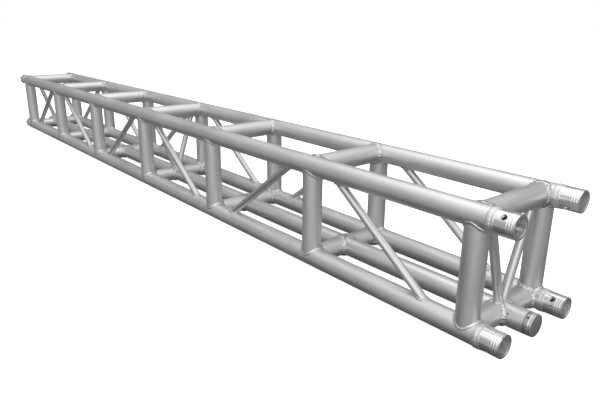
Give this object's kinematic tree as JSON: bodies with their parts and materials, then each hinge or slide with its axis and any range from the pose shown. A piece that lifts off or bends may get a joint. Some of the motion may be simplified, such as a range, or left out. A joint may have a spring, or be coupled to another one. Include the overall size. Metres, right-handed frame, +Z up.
{
  "type": "lighting truss section",
  "caption": "Welded aluminium box truss section with a centre chord along the bottom, slim side diagonals, V braces and conical coupler sockets at the chord ends.",
  "frame": {"origin": "middle of the section's footprint, on the plane of the bottom chords' underside", "axes": "+X along the truss, +Y across it from front to rear, +Z up; the centre chord is at the bottom"},
  "size_m": [3, 0.29, 0.29],
  "materials": {
    "chord_aluminium": "satin extruded tube with fine lengthwise die lines",
    "lacing_aluminium": "satin extruded tube, slightly duller than the chords, with weld beads at both ends",
    "brace_aluminium": "satin slim tube with weld beads at both ends",
    "connector_aluminium": "bright turned aluminium with fine circular tool marks and grooves",
    "plug_aluminium": "turned aluminium with a darker end face"
  },
  "bodies": {
    "root": {"chord_top_front": "chord_aluminium", "chord_top_rear": "chord_aluminium", "chord_bottom_front": "chord_aluminium", "chord_bottom_rear": "chord_aluminium", "chord_centre": "chord_aluminium", "post_front_1": "lacing_aluminium", "post_rear_1": "lacing_aluminium", "top_rung_1": "lacing_aluminium", "crossbar_1": "lacing_aluminium", "post_front_2": "lacing_aluminium", "post_rear_2": "lacing_aluminium", "top_rung_2": "lacing_aluminium", "crossbar_2": "lacing_aluminium", "post_front_3": "lacing_aluminium", "post_rear_3": "lacing_aluminium", "top_rung_3": "lacing_aluminium", "crossbar_3": "lacing_aluminium", "post_front_4": "lacing_aluminium", "post_rear_4": "lacing_aluminium", "top_rung_4": "lacing_aluminium", "crossbar_4": "lacing_aluminium", "post_front_5": "lacing_aluminium", "post_rear_5": "lacing_aluminium", "top_rung_5": "lacing_aluminium", "crossbar_5": "lacing_aluminium", "post_front_6": "lacing_aluminium", "post_rear_6": "lacing_aluminium", "top_rung_6": "lacing_aluminium", "crossbar_6": "lacing_aluminium", "post_front_7": "lacing_aluminium", "post_rear_7": "lacing_aluminium", "top_rung_7": "lacing_aluminium", "crossbar_7": "lacing_aluminium", "v_brace_1": "brace_aluminium", "v_brace_4": "brace_aluminium", "v_brace_7": "brace_aluminium", "diagonal_front_1": "brace_aluminium", "diagonal_rear_1": "brace_aluminium", "diagonal_front_2": "brace_aluminium", "diagonal_rear_2": "brace_aluminium", "diagonal_front_3": "brace_aluminium", "diagonal_rear_3": "brace_aluminium", "diagonal_front_4": "brace_aluminium", "diagonal_rear_4": "brace_aluminium", "diagonal_front_5": "brace_aluminium", "diagonal_rear_5": "brace_aluminium", "diagonal_front_6": "brace_aluminium", "diagonal_rear_6": "brace_aluminium", "connector_a_top_front": "connector_aluminium", "connector_a_top_rear": "connector_aluminium", "connector_a_bottom_front": "connector_aluminium", "connector_a_bottom_rear": "connector_aluminium", "centre_plug_a": "plug_aluminium", "connector_b_top_front": "connector_aluminium", "connector_b_top_rear": "connector_aluminium", "connector_b_bottom_front": "connector_aluminium", "connector_b_bottom_rear": "connector_aluminium", "centre_plug_b": "plug_aluminium"}
  },
  "joints": []
}
